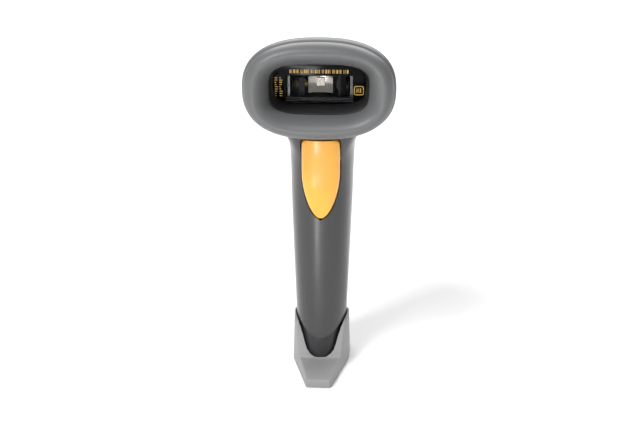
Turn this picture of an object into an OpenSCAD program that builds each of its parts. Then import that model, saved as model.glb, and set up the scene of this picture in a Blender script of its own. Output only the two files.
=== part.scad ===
// Cordless pistol-grip barcode scanner, standing on its boot.
// +X is to its right, -Y is the way its scan window faces, +Z is up.
// The origin is on the boot's flat base, under the grip. Sizes are in millimetres.

/* [Head] */
// Widest part of the nose bumper
bumper_w = 67.4; // [66.6:0.2:68]
// Height of the nose bumper across its face
bumper_h = 44.4; // [44:0.1:45]
// How far the head points up while the scanner stands on its boot, in degrees
head_pitch = 2; // [1.5:0.1:2.5]
// Height of the middle of the bumper's face above the table
nose_z = 144.4; // [144:0.1:144.8]
// Width of the opening in front of the scan window
opening_w = 43.6; // [43.4:0.1:44]
// Height of the opening in front of the scan window
opening_h = 21.8; // [21.6:0.1:22.2]
// How far the scan window leans, top edge forward, in degrees
window_lean = 12; // [11:0.5:13]

/* [Grip] */
// Wall of the two housings
wall = 2.2; // [2:0.1:2.3]
// Gap along the seam between the two housings
seam = 0.16; // [0.12:0.02:0.3]

/* [Trigger] */
// Width of the trigger's face
trigger_w = 18; // [17.6:0.1:18.2]
// Gap between the trigger and the edge of its opening
trigger_gap = 0.45; // [0.4:0.05:0.6]
// Diameter of the pin that the trigger turns on
pin_d = 2.5; // [2.3:0.1:2.6]

/* [Boot] */
// Width of the boot's toe at its front edge
toe_w = 12.4; // [11:0.2:13]
// Widest part of the boot
boot_w = 28.6; // [28.4:0.1:29]
// How far the toe reaches in front of the origin
toe_y = 30; // [29:0.5:31]
// How far the heel reaches behind the origin
heel_y = 28; // [27.8:0.1:29]

/* [Hidden] */
$fn = 48;
tiny = 0.01;

nose_y = -36;
pivot_y = -3;
pivot_z = 121;
switch_z = 109;
spring_z = 93;
board_y = 5;
board_t = 1.6;
frame_y = board_y + board_t + 0.3;
frame_t = 1.4;
boss_x = 9.2;
boss_z = 101;
low_screw_z = 18;
lens_w = 12;
BOARD_SCREWS = [[-5.8, 70], [5.8, 70], [0, 27.2]];
BOOT_SCREWS = [-5, 9];

// The body's side profile, from nose to grip end. Each row joins a point of the lower front line
// to a point of the upper rear line: front y, front z, rear y, rear z, half width, squareness.
BODY = [
    [-25.5, 125.4, -24.2, 162.6, 29.6, 2.7],
    [-18.2, 124.5, -16.8, 162.4, 30.4, 2.7],
    [-13.0, 122.6, 3.0, 160.4, 29.2, 2.6],
    [-9.4, 117.8, 20.5, 155.4, 26.0, 2.5],
    [-7.6, 111.5, 34.0, 145.0, 20.6, 2.4],
    [-6.7, 104.5, 40.8, 127.0, 16.4, 2.35],
    [-6.3, 96.0, 39.0, 108.0, 15.3, 2.35],
    [-6.3, 84.0, 34.5, 89.0, 14.9, 2.4],
    [-7.0, 66.0, 30.5, 68.0, 14.2, 2.4],
    [-8.4, 44.0, 27.5, 45.0, 13.3, 2.4],
    [-9.8, 24.0, 25.3, 25.0, 12.5, 2.4],
    [-10.6, 9.0, 24.2, 9.0, 12.1, 2.4]];
BODY_STEPS = 33;
HALF_STEPS = 18;

// Rings of the bumper, from the opening's edge round the lip and back inside: how far the ring
// lies from the outer oval (0) to the opening (1), squareness, depth behind the face.
BUMPER = [
    [1, 3.6, 10.9], [1, 3.6, 9.2], [0.95, 3.5, 6.6], [0.85, 3.3, 3.8], [0.7, 3.1, 1.4],
    [0.55, 2.9, 0.2], [0.42, 2.75, 0.1], [0.29, 2.62, 1.0], [0.17, 2.52, 2.8], [0.1, 2.46, 5.0],
    [0.1, 2.46, 6.6], [0.12, 2.46, 7.5], [0.04, 2.46, 8.8], [0, 2.46, 11.0], [0.02, 2.46, 14.6],
    [0.06, 2.46, 16.8], [0.12, 2.5, 17.5], [0.18, 2.6, 16.9], [0.2, 2.65, 11.6], [0.3, 2.65, 10.9]];
// Rings of the window's bezel, from its front edge inward and back round its outside:
// half width, half height, squareness, depth, rise, and how far it leans for each unit of height.
BEZEL = [
    [21.7, 10.8, 3.6, 11.0, 0, 0], [21.0, 9.5, 3.5, 13.6, 0.9, -0.1],
    [20.2, 8.2, 3.4, 16.2, 1.9, -tan(window_lean)], [21.2, 9.2, 3.4, 16.2, 1.9, -tan(window_lean)],
    [21.2, 9.2, 3.4, 18.0, 1.9, -tan(window_lean)], [22.6, 10.6, 3.3, 18.0, 1.9, -tan(window_lean)],
    [23.4, 12.2, 3.2, 13.0, 0.5, 0], [27.0, 16.0, 2.7, 13.0, 0, 0], [27.0, 16.0, 2.7, 11.0, 0, 0]];
BUMPER_STEPS = 72;

function power(c, p) = sign(c) * pow(abs(c), p);
function oval(a, b, n, t) = [a * power(cos(t), 2 / n), b * power(sin(t), 2 / n)];
function oval_ring(a, b, n, count = 64) = [for (i = [0:count - 1]) oval(a, b, n, 360 * i / count)];
function row(table, i) = table[min(max(i, 0), len(table) - 1)];
// A smooth curve through the rows of a table; u counts rows
function smooth(table, u) =
    let (i = floor(u), f = u - i, a = row(table, i - 1), b = row(table, i))
    let (c = row(table, i + 1), d = row(table, i + 2))
    b + f * (c - a) / 2 + f * f * (a - 2.5 * b + 2 * c - d / 2) + f * f * f * (1.5 * (b - c) + (d - a) / 2);
function body_row(k) = smooth(BODY, (len(BODY) - 1) * k / BODY_STEPS);
// Points of one section of the body, from angle t0 to t1, grown by grow and moved apart by shift
function section(s, t0, t1, steps, grow = 0, shift = 0) =
    let (d = [s[2] - s[0], s[3] - s[1]], h = norm(d), e = d / h, c = [s[2] + s[0], s[3] + s[1]] / 2)
    [for (i = [0:steps]) let (p = oval(s[4] + grow, h / 2 + grow, s[5], t0 + (t1 - t0) * i / steps))
        [-p[0], c[0] + e[0] * (p[1] + shift), c[1] + e[1] * (p[1] + shift)]];
// Triangles between two loops of n points that start at points a and b
function band(a, b, n) = [for (i = [0:n - 1]) let (j = (i + 1) % n)
    each [[a + i, b + i, b + j], [a + i, b + j, a + j]]];
function fan(a, n) = [for (i = [1:n - 2]) [a, a + i, a + i + 1]];
function flipped(faces) = [for (f = faces) [f[0], f[2], f[1]]];
function joined(lists) = [for (l = lists) each l];

// A solid through a stack of loops that are nearly flat
module loft(loops) {
    n = len(loops[0]);
    last = len(loops) - 1;
    polyhedron(joined(loops), concat(
        [for (k = [0:last - 1]) each band(k * n, (k + 1) * n, n)],
        fan(0, n), flipped(fan(last * n, n))));
}

// A solid ring through loops that follow each other round and meet
module ring_loft(loops) {
    n = len(loops[0]);
    count = len(loops);
    polyhedron(joined(loops),
        [for (k = [0:count - 1]) each band(k * n, ((k + 1) % count) * n, n)]);
}

// A channel: each loop is an outer line of m + 1 points and the inner line back again
module channel_loft(loops, m) {
    n = len(loops[0]);
    last = len(loops) - 1;
    ends = function(a) [for (i = [0:m - 1])
        each [[a + i, a + i + 1, a + n - 2 - i], [a + i, a + n - 2 - i, a + n - 1 - i]]];
    polyhedron(joined(loops), concat(
        [for (k = [0:last - 1]) each band(k * n, (k + 1) * n, n)],
        ends(0), flipped(ends(last * n))));
}

// The whole body as a solid, grown by grow
module body_solid(grow = 0, first = 0) {
    loft([for (k = [first:BODY_STEPS]) section(body_row(k), 0, 360 - 360 / 48, 47, grow)]);
}

function reversed(list) = [for (i = [len(list) - 1:-1:0]) list[i]];

// One half of the body's wall; side is 1 for the rear half and -1 for the front half
module half_wall(side) {
    t0 = side > 0 ? 0 : 180;
    loops = [for (k = [0:BODY_STEPS]) let (s = body_row(k)) concat(
        section(s, t0, t0 + 180, HALF_STEPS, 0, side * seam / 2),
        reversed(section(s, t0, t0 + 180, HALF_STEPS, -wall, side * seam / 2)))];
    channel_loft(loops, HALF_STEPS);
}

// Places its children in the head: y is the depth behind the bumper's face, z is up along it
module in_head() {
    translate([0, nose_y, nose_z]) rotate([-head_pitch, 0, 0]) children();
}

// Places its children on the leaning scan window, with y as the depth behind its front
module on_window() {
    in_head() translate([0, 16.25, 1.9]) rotate([window_lean, 0, 0]) children();
}

// Places its children in the scan engine, which sits in the head behind the window
module in_engine() {
    in_head() translate([0, 4.8, -0.9]) children();
}

// A plate of an oval outline that reaches from depth y0 to y1
module oval_plate(a, b, n, y0, y1) {
    translate([0, y1, 0]) rotate([90, 0, 0]) linear_extrude(y1 - y0) polygon(oval_ring(a, b, n));
}

// A box from one corner to the other
module block(low, high) {
    translate(low) cube(high - low);
}

// A round bar along Y from y0 to y1
module bar_y(x, z, r, y0, y1) {
    translate([x, y1, z]) rotate([90, 0, 0]) cylinder(r = r, h = y1 - y0);
}

// A side outline in y and z, as thick as w and centred on x
module side_plate(outline, w, x = 0) {
    translate([x - w / 2, 0, 0]) rotate([90, 0, 90]) linear_extrude(w) polygon(outline);
}

// A screw along +Y: a pan head from y0 and a shank of length long
module screw_y(x, y0, z, head_r, head_h, r, long) {
    difference() {
        union() {
            bar_y(x, z, head_r, y0 - head_h, y0);
            bar_y(x, z, r, y0 - long, y0 - head_h + tiny);
        }
        for (a = [0, 90]) translate([x, y0, z]) rotate([0, a, 0])
            cube([head_r * 1.2, head_h * 1.2, head_r * 0.3], center = true);
    }
}

trigger_top = 116.5;
trigger_shoulder = 114.3;
trigger_bend = 100;
trigger_tip = 77.1;
trigger_back_y = 0.5;
// Half width of the trigger at height z: round at the tip, straight, and round at its upper corners
function trigger_half(z) =
    z < trigger_bend ? trigger_w / 2 * pow(1 - pow((trigger_bend - z) / (trigger_bend - trigger_tip), 1.8), 0.55)
    : z < trigger_shoulder ? trigger_w / 2
    : let (r = trigger_top - trigger_shoulder) trigger_w / 2 - r + sqrt(max(r * r - pow(z - trigger_shoulder, 2), 0));
// The heights of the trigger's sections, closer together where its outline is round
TRIGGER_Z = concat(
    [for (i = [1:14]) trigger_tip + (trigger_bend - trigger_tip) * pow(i / 14, 1.7)], [107],
    [for (a = [0:18:90]) trigger_shoulder + (trigger_top - trigger_shoulder) * sin(a)]);
// One section of the trigger at height z, made smaller by inset: its crowned face, then its back
function trigger_section(z, inset) =
    let (w = max(trigger_half(z) - inset, 0.4), y = -10.6 + inset + pow(z - 111, 2) / 248, r = 11 - inset)
    concat([for (i = [-6:6]) let (x = w * i / 6) [x, y + r - sqrt(r * r - x * x), z]],
        [[w, trigger_back_y + inset, z], [-w, trigger_back_y + inset, z]]);

// The trigger's face outline, grown by grow, from depth y0 to y1
module trigger_outline(grow, y0, y1) {
    right = concat([[grow, trigger_tip - grow]],
        [for (z = TRIGGER_Z) [trigger_half(z) + grow, z + (z > trigger_shoulder ? grow : 0)]]);
    translate([0, y1, 0]) rotate([90, 0, 0]) linear_extrude(y1 - y0)
        polygon(concat(right, [for (p = reversed(right)) [-p[0], p[1]]]));
}

module trigger_shell() {
    difference() {
        loft([for (z = TRIGGER_Z) trigger_section(z, 0)]);
        loft([for (z = TRIGGER_Z) if (z > trigger_tip + 3 && z < trigger_top - 1.5) trigger_section(z, 1.6)]);
    }
}

module trigger_shape() {
    difference() {
        union() {
            trigger_shell();
            side_plate([[-9.3, 108], [-9.0, 114.9], [-6.2, 115.2], [-5.6, 120], [-0.6, 120], [-1.0, 112],
                [-3.2, 108]], 12.6);
            side_plate([[-8.6, 106.5], [-8.8, 111.4], [-2.8, 111.4], [-2.8, 106.5]], 4);
            translate([-6.3, pivot_y, pivot_z]) rotate([0, 90, 0]) cylinder(r = 3, h = 12.6);
            bar_y(0, spring_z, 1.5, -9.4, -4.2);
        }
        translate([-10, pivot_y, pivot_z]) rotate([0, 90, 0]) cylinder(r = pin_d / 2 + 0.06, h = 20);
        block([-4.2, -8, 116.9], [4.2, 1, 125]);
        block([-3.6, -2.8, 100], [3.6, 5, 117]);
    }
}

module trigger() {
    color("orange") trigger_shape();
}

module trigger_pin() {
    color("silver") translate([-9.6, pivot_y, pivot_z]) rotate([0, 90, 0]) cylinder(r = pin_d / 2, h = 19.2);
}

// A round wire wound along +Y from y0 to y1 round the point x, z
module coil_y(x, z, r, wire, y0, y1, turns) {
    steps = turns * 12;
    ring = function(k) let (a = 360 * turns * k / steps, y = y0 + (y1 - y0) * k / steps)
        [for (i = [0:5]) let (b = 60 * i, q = r + wire * cos(b)) [x + q * cos(a), y + wire * sin(b), z + q * sin(a)]];
    loft([for (k = [0:steps]) ring(k)]);
}

module trigger_spring() {
    color("gainsboro") coil_y(0, spring_z, 2.2, 0.28, -7.2, 1.85, 6);
}

module front_housing() {
    color("dimgray") difference() {
        union() {
            half_wall(-1);
            for (s = [-1, 1]) {
                side_plate([[-3, 117.6], [-8.7, 118.5], [-12.4, 122.8], [-11.4, 126], [-3, 124.4], [0.1, 122.4],
                    [0.1, 119.4]], 2, s * 8.4);
                bar_y(s * boss_x, boss_z, 2.5, -1.0, 17.5);
            }
            intersection() {
                for (p = BOARD_SCREWS) bar_y(p[0], p[1], 2.6, -14, board_y - 0.1);
                body_solid(-wall / 2);
            }
        }
        trigger_outline(trigger_gap, -20, 3);
        grip_end_cut(0);
        translate([-12, pivot_y, pivot_z]) rotate([0, 90, 0]) cylinder(r = pin_d / 2 + 0.03, h = 24);
        for (s = [-1, 1]) bar_y(s * boss_x, boss_z, 0.95, 6, 20);
        for (p = BOARD_SCREWS) bar_y(p[0], p[1], 0.95, -3, 8);
    }
}

// What is cut off the grip's end: a tongue is left at the front, and the rear ends inside the boot
module grip_end_cut(gap) {
    tongue = [[-25, 4.8], [-11, 14.6], [-9.8, 17.8], [-7.4, 21.6], [-3.5, 23.6], [5, 24.2]];
    side_plate(concat([[-25, -5]], [for (p = tongue) p + [0, gap]], [[5, 10 + gap], [40, 10 + gap], [40, -5]]), 40);
}

// A raised strip runs back along the top of the head from the bumper
module top_strip(grow, half_w, y0, y1) {
    difference() {
        intersection() {
            body_solid(grow);
            in_head() block([-half_w, y0, 8], [half_w, y1, 26]);
        }
        body_solid(-wall / 2);
    }
}

module rear_housing() {
    color("dimgray") difference() {
        union() {
            half_wall(1);
            top_strip(0.7, 10, 18, 44);
            intersection() {
                union() {
                    for (s = [-1, 1]) bar_y(s * boss_x, boss_z, 3.4, 17.8, 40);
                    bar_y(0, low_screw_z, 3.6, 19, 30);
                }
                body_solid(-wall / 2);
            }
        }
        grip_end_cut(0);
        for (s = [-1, 1]) {
            bar_y(s * boss_x, boss_z, 1.3, 17, 25);
            bar_y(s * boss_x, boss_z, 2.4, 23.8, 45);
        }
        bar_y(0, low_screw_z, 1.3, 15, 40);
        bar_y(0, low_screw_z, 2.4, 22, 40);
        in_head() block([-lens_w / 2 - 0.15, 23.85, 8], [lens_w / 2 + 0.15, 36.15, 26]);
    }
}

module nose_bumper() {
    rings = [for (k = [0:BUMPER_STEPS - 1]) [for (j = BUMPER)
        let (w = bumper_w * (1 - j[0]) + opening_w * j[0], h = bumper_h * (1 - j[0]) + opening_h * j[0])
        let (p = oval(w / 2, h / 2, j[1], 360 * k / BUMPER_STEPS)) [p[0], j[2], p[1]]]];
    color("gray") in_head() ring_loft(rings);
}

module window_bezel() {
    rings = [for (k = [0:BUMPER_STEPS - 1]) [for (j = reversed(BEZEL))
        let (p = oval(j[0], j[1], j[2], 360 * k / BUMPER_STEPS)) [p[0], j[3] + j[5] * p[1], p[1] + j[4]]]];
    color("black") in_head() ring_loft(rings);
}

module scan_window() {
    color("black") on_window() oval_plate(21.0, 9.1, 3.4, 0, 1.4);
}

module window_gasket() {
    color("darkslategray") on_window() difference() {
        oval_plate(20.9, 9.0, 3.4, 1.45, 2.25);
        block([-15, 1, -7.6], [15, 3, 3.1]);
    }
}

// A plate of the grip's section near its end, grown by grow, from height z0 to z1
module grip_plate(grow, z0, z1) {
    translate([0, 7, z0]) linear_extrude(z1 - z0) polygon(oval_ring(12.3 + grow, 17.45 + grow, 2.4));
}

module base_boot() {
    plan = [[toe_w / 2 - 0.8, -toe_y], [toe_w / 2, -toe_y + 0.8], [boot_w / 2 - 0.6, -1.5], [boot_w / 2, 4],
        [boot_w / 2, 12], [boot_w / 2 - 1.2, 20], [boot_w / 2 - 4.2, 25.4], [6.6, heel_y - 0.4], [4, heel_y]];
    side = [[-toe_y, 0], [-toe_y, 3.7], [-toe_y + 0.6, 4.3], [-11.4, 5.8], [-10.3, 7.2], [-9.2, 10.2],
        [-8.2, 13.6], [-7.2, 16.2], [-5.6, 19.2], [-3.8, 21], [-1, 22.3], [3, 22.9], [8, 22.9], [14, 21.8],
        [22, 19.2], [heel_y - 0.5, 18.2], [heel_y, 17.6], [heel_y, 0]];
    color("darkgray") difference() {
        intersection() {
            linear_extrude(40) polygon(concat(plan, [for (p = reversed(plan)) [-p[0], p[1]]]));
            side_plate(side, 40);
        }
        intersection() {
            body_solid(0.3);
            block([-20, -20, 9.7], [20, 40, 40]);
        }
        grip_plate(-0.8, 3, 12);
        block([-5.2, 15, 5.6], [5.2, 40, 10.6]);
        for (y = BOOT_SCREWS) translate([0, y, -1]) {
            cylinder(r = 1.3, h = 10);
            cylinder(r = 2.7, h = 3.4);
        }
    }
}

module base_plug() {
    color("black") difference() {
        union() {
            intersection() {
                grip_plate(-1.1, 3.2, 30);
                grip_end_cut(-0.3);
            }
            grip_plate(-wall - 0.9, 3.2, 24);
        }
        block([-5.6, 12.6, 4.6], [5.6, 40, 11.6]);
        block([-6.2, 3, 12.2], [6.2, 14, 25]);
        bar_y(0, low_screw_z, 4, 18.6, 30);
        bar_y(0, low_screw_z, 0.95, 13, 20);
        for (y = BOOT_SCREWS) translate([0, y, 3]) cylinder(r = 0.95, h = 8);
    }
}

module boot_screws() {
    color("silver") for (y = BOOT_SCREWS) translate([0, y, 0]) difference() {
        union() {
            translate([0, 0, 0.5]) cylinder(r = 2.3, h = 1.8);
            translate([0, 0, 2.2]) cylinder(r = 0.9, h = 8);
        }
        for (a = [0, 90]) rotate(a) cube([2.8, 0.6, 2], center = true);
    }
}

module housing_screws() {
    color("silver") {
        for (s = [-1, 1]) screw_y(s * boss_x, 25.5, boss_z, 2.1, 1.6, 0.9, 11);
        screw_y(0, 23.7, low_screw_z, 2.1, 1.6, 0.9, 8);
    }
}

module status_lens() {
    color("darkgreen") union() {
        top_strip(0.9, lens_w / 2, 24, 36);
        in_head() block([-2, 28, 14.6], [2, 32, 19]);
    }
}

module status_led() {
    color("white") in_head() union() {
        block([-1.6, 28.4, 12.6], [1.6, 31.6, 13.8]);
        translate([0, 30, 13.5]) sphere(r = 0.9);
        block([-4, 26, 11.7], [4, 34, 12.7]);
    }
}

module sounder() {
    color("black") difference() {
        bar_y(0, 101, 6, frame_y + frame_t + 0.1, 13.4);
        bar_y(0, 101, 1, 12.4, 14);
    }
}

module switch_case() {
    color("black") difference() {
        block([-2.9, -1.5, 102.6], [2.9, board_y - 0.05, 115.4]);
        bar_y(0, switch_z, 1.2, -2, 1.5);
    }
}

module switch_plunger() {
    color("white") bar_y(0, switch_z, 1.1, -2.7, 0.3);
}

module inner_frame() {
    color("slategray") difference() {
        union() {
            block([-8.6, frame_y, 24.6], [8.6, frame_y + frame_t, 112]);
            bar_y(0, spring_z, 2.8, 2.2, frame_y + tiny);
            for (z = [30.4, 82.4]) block([-6.5, frame_y, z], [6.5, 19, z + 1.4]);
            for (s = [-1, 1]) block([s * 7.6 - 0.5, frame_y, 34], [s * 7.6 + 0.5, 13, 66]);
        }
        for (p = BOARD_SCREWS) bar_y(p[0], p[1], 1.2, frame_y - 0.1, 10);
        bar_y(0, spring_z, 1.2, 2, 4.5);
        for (s = [-1, 1]) bar_y(s * boss_x, boss_z, 2.9, 4, 12);
    }
}

module main_board() {
    color("green") difference() {
        block([-8.8, board_y, 24], [8.8, board_y + board_t, 116]);
        for (p = BOARD_SCREWS) bar_y(p[0], p[1], 1.15, 4, 8);
        bar_y(0, spring_z, 3, 4, 8);
        for (s = [-1, 1]) bar_y(s * boss_x, boss_z, 2.9, 4, 8);
    }
}

module board_screws() {
    color("silver") for (p = BOARD_SCREWS) screw_y(p[0], frame_y + frame_t + 1.4, p[1], 2, 1.4, 0.9, 10);
}

module decoder_chip() {
    color("black") block([-5, board_y - 1.5, 52], [5, board_y - 0.02, 62]);
}

module memory_chip() {
    color("black") block([-2.5, board_y - 1.3, 44], [2.5, board_y - 0.02, 49.5]);
}

module radio_module() {
    color("silver") block([-5.5, board_y - 2, 31], [5.5, board_y - 0.02, 41.5]);
}

module flex_socket() {
    color("ivory") difference() {
        block([-6, board_y + board_t + 0.02, 112.6], [6, board_y + board_t + 2.4, 116]);
        block([-5.2, board_y + board_t + 0.7, 114], [5.2, board_y + board_t + 1.7, 117]);
    }
}

// A strip of thickness t along a path in y and z
function ribbon(path, t) =
    let (last = len(path) - 1)
    let (side = [for (i = [0:last]) let (d = path[min(i + 1, last)] - path[max(i - 1, 0)]) [d[1], -d[0]] / norm(d) * t / 2])
    concat([for (i = [0:last]) path[i] + side[i]], [for (i = [last:-1:0]) path[i] - side[i]]);

// The flat cable runs from the scan engine's board down to the socket on the main board
module flex_cable() {
    path = [[13.5, 135.1], [16.5, 134.2], [17.6, 130.4], [15, 125.6], [10.4, 121.6], [7.8, 117.5], [7.8, 114.3]];
    curve = [for (i = [0:24]) smooth(path, i / 4)];
    color("white") side_plate(ribbon(curve, 0.4), 9);
}

module battery() {
    color("royalblue") translate([0, 15.8, 32]) {
        cylinder(r = 7, h = 49);
        translate([0, 0, 49 - tiny]) cylinder(r = 2.6, h = 1);
    }
}

// Two wires from the battery's foot to the main board
module battery_lead() {
    color("red") for (s = [-1, 1]) translate([s * 3, 0, 25.8]) union() {
        translate([0, 14, 0]) rotate([90, 0, 0]) cylinder(r = 0.6, h = 14 - frame_y - frame_t - 0.2);
        translate([0, 14, 0]) sphere(r = 0.6);
        translate([0, 14, 0]) cylinder(r = 0.6, h = 4.4);
    }
}

module charge_board() {
    color("green") block([-5, 13.6, 5.6], [5, 26.6, 6.6]);
}

module charge_socket() {
    color("silver") difference() {
        union() {
            for (s = [-1, 1]) bar_y(s * 2.9, 8.3, 1.6, 19.4, 26.9);
            block([-2.9, 19.4, 6.7], [2.9, 26.9, 9.9]);
        }
        for (s = [-1, 1]) bar_y(s * 2.9, 8.3, 1.3, 20.4, 28);
        block([-2.9, 20.4, 7.0], [2.9, 28, 7.9]);
        block([-2.9, 20.4, 8.7], [2.9, 28, 9.6]);
        block([-4.2, 26.2, 7.0], [4.2, 28, 9.6]);
    }
}

module engine_tray() {
    color("dimgray") in_engine() difference() {
        union() {
            block([-15.5, 19, -9.4], [15.5, 45, -7.5]);
            for (s = [-1, 1], y = [21.5, 33]) translate([s * 11, y, -16]) cylinder(r = 2.2, h = 7);
            for (s = [-1, 1]) block([s * 16 - 0.5, 19, -9.4], [s * 16 + 0.5, 45, -4]);
        }
        for (s = [-1, 1]) translate([s * 12, 39.5, -12]) cylinder(r = 0.9, h = 8);
    }
}

module engine_board() {
    color("green") in_engine() difference() {
        block([-15.2, 15.8, -7.3], [15.2, 44.6, -6.1]);
        for (s = [-1, 1]) translate([s * 12, 39.5, -9]) cylinder(r = 1.1, h = 6);
    }
}

module engine_frame() {
    color("darkslategray") in_engine() difference() {
        union() {
            block([-14.6, 17.4, -6.05], [14.6, 43.6, -4.8]);
            for (s = [-1, 1]) block([s * 14 - 0.6, 17.4, -6], [s * 14 + 0.6, 36, 6.6]);
            block([-9, 42.2, -6], [9, 43.6, 6.6]);
            block([-3, 27, 6.2], [3, 43.6, 7.2]);
            bar_y(0, 0.6, 1.7, 32, 42.5);
        }
        for (s = [-1, 1]) translate([s * 12, 39.5, -9]) cylinder(r = 1.1, h = 6);
        translate([0, 28.4, -9]) cylinder(r = 0.78, h = 20);
    }
}

module engine_screws() {
    color("gold") in_engine() for (s = [-1, 1]) translate([s * 12, 39.5, -8.8]) difference() {
        union() {
            cylinder(r = 0.85, h = 4.2);
            translate([0, 0, 4.05]) cylinder(r = 1.9, h = 1.2);
        }
        translate([0, 0, 5.2]) for (a = [0, 90]) rotate(a) cube([2.4, 0.5, 1], center = true);
    }
}

// The curved collecting mirror with the small flat beam mirror in its middle
module scan_mirror() {
    color("silver") in_engine() difference() {
        union() {
            difference() {
                block([-5.5, 23.2, -4.0], [5.5, 27, 5.6]);
                translate([0, 9.4, 0.8]) sphere(r = 16, $fn = 72);
            }
            block([-1.8, 24.4, -1.0], [1.8, 26.4, 2.6]);
            translate([0, 28.4, -4.0]) cylinder(r = 1.6, h = 9.6);
            block([-1.6, 26.5, -4.0], [1.6, 28.4, 5.6]);
        }
        translate([0, 28.4, -9]) cylinder(r = 0.8, h = 20);
    }
}

module mirror_magnet() {
    color("dimgray") in_engine() difference() {
        block([-2.6, 28.6, -1.6], [2.6, 30.9, 2.8]);
        translate([0, 28.4, -9]) cylinder(r = 1.62, h = 20);
    }
}

module mirror_pin() {
    color("silver") in_engine() translate([0, 28.4, -5.9]) cylinder(r = 0.75, h = 12.9);
}

module drive_coil() {
    color("peru") in_engine() difference() {
        bar_y(0, 0.6, 4.2, 34, 39);
        bar_y(0, 0.6, 1.8, 33, 40);
        bar_y(0, 0.6, 5, 35, 35.6);
    }
}

// Places its children at one side of the engine, with +Y aimed at the middle of the scan mirror
module aimed_at_mirror(side, x = 9.6, y = 19.6) {
    in_engine() translate([side * x, y, 0.6]) rotate([0, 0, side * 62]) children();
}

module laser_module() {
    color("goldenrod") aimed_at_mirror(-1) rotate([-90, 0, 0]) difference() {
        translate([0, 0, -1.8]) cylinder(r = 1.9, h = 5.4);
        translate([0, 0, 2.6]) cylinder(r = 0.8, h = 2);
    }
}

module laser_collar() {
    color("black") aimed_at_mirror(-1) difference() {
        block([-2.8, -1.2, -5.35], [2.8, 1.6, 3.2]);
        rotate([-90, 0, 0]) translate([0, 0, -4]) cylinder(r = 1.95, h = 8);
    }
}

module light_sensor() {
    color("darkred") aimed_at_mirror(1) union() {
        block([-2.6, -0.9, -5.35], [2.6, 0.3, 4.2]);
        block([-1.8, 0.2, -1.8], [1.8, 1.6, 1.8]);
    }
}

front_housing();
rear_housing();
nose_bumper();
window_bezel();
scan_window();
window_gasket();
base_boot();
base_plug();
boot_screws();
housing_screws();
status_lens();
status_led();
sounder();
trigger();
trigger_pin();
trigger_spring();
switch_case();
switch_plunger();
inner_frame();
main_board();
board_screws();
decoder_chip();
memory_chip();
radio_module();
flex_socket();
flex_cable();
battery();
battery_lead();
charge_board();
charge_socket();
engine_tray();
engine_board();
engine_frame();
engine_screws();
scan_mirror();
mirror_magnet();
mirror_pin();
drive_coil();
laser_module();
laser_collar();
light_sensor();
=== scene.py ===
import math

import bmesh
import bpy
from mathutils import Matrix, Vector


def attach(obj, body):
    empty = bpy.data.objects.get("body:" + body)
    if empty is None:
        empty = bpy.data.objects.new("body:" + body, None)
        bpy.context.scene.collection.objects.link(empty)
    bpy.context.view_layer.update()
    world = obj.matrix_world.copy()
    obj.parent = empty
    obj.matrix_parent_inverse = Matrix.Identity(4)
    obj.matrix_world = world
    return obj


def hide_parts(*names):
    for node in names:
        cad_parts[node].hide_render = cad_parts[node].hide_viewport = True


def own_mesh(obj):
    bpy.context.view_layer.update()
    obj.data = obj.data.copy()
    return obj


bl_info = {
    "name": "Barcode scanner",
    "version": (1, 0, 0),
    "blender": (4, 5, 0),
    "location": "3D View > Sidebar > Scanner",
    "description": "Builds the looks of a pistol-grip barcode scanner round its CAD parts",
    "category": "Object",
}

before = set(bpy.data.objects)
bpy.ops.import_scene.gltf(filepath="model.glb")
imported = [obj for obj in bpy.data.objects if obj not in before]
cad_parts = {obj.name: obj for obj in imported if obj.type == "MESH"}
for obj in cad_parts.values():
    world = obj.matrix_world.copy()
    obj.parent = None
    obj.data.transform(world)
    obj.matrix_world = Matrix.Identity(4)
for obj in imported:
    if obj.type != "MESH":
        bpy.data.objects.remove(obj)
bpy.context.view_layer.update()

MM = 0.001
ARC = 16

# The body's side profile from nose to grip end: front y, front z, rear y, rear z, half width,
# squareness.
BODY = [
    (-25.5, 125.4, -24.2, 162.6, 29.6, 2.7),
    (-18.2, 124.5, -16.8, 162.4, 30.4, 2.7),
    (-13.0, 122.6, 3.0, 160.4, 29.2, 2.6),
    (-9.4, 117.8, 20.5, 155.4, 26.0, 2.5),
    (-7.6, 111.5, 34.0, 145.0, 20.6, 2.4),
    (-6.7, 104.5, 40.8, 127.0, 16.4, 2.35),
    (-6.3, 96.0, 39.0, 108.0, 15.3, 2.35),
    (-6.3, 84.0, 34.5, 89.0, 14.9, 2.4),
    (-7.0, 66.0, 30.5, 68.0, 14.2, 2.4),
    (-8.4, 44.0, 27.5, 45.0, 13.3, 2.4),
    (-9.8, 24.0, 25.3, 25.0, 12.5, 2.4),
    (-10.6, 9.0, 24.2, 9.0, 12.1, 2.4),
]
BODY_LOOPS = 45
# Rings of the nose, from the opening's edge round the lip and back inside: how far the ring lies
# from the outer oval (0) to the opening (1), squareness, depth behind the face.
NOSE = [
    (1, 3.6, 10.6), (1, 3.6, 9.2), (0.95, 3.5, 6.6), (0.85, 3.3, 3.8), (0.7, 3.1, 1.4),
    (0.55, 2.9, 0.2), (0.42, 2.75, 0.1), (0.29, 2.62, 1.0), (0.17, 2.52, 2.8), (0.1, 2.46, 5.0),
    (0.1, 2.46, 6.6), (0.17, 2.46, 7.5), (0.05, 2.46, 8.6), (0, 2.46, 11.0), (0.02, 2.46, 14.6),
    (0.06, 2.46, 16.8), (0.12, 2.5, 17.5), (0.18, 2.6, 16.9), (0.2, 2.65, 11.6), (0.3, 2.65, 10.9),
]
WINDOW_LEAN = math.radians(12)
LEAN = math.tan(WINDOW_LEAN)
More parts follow.
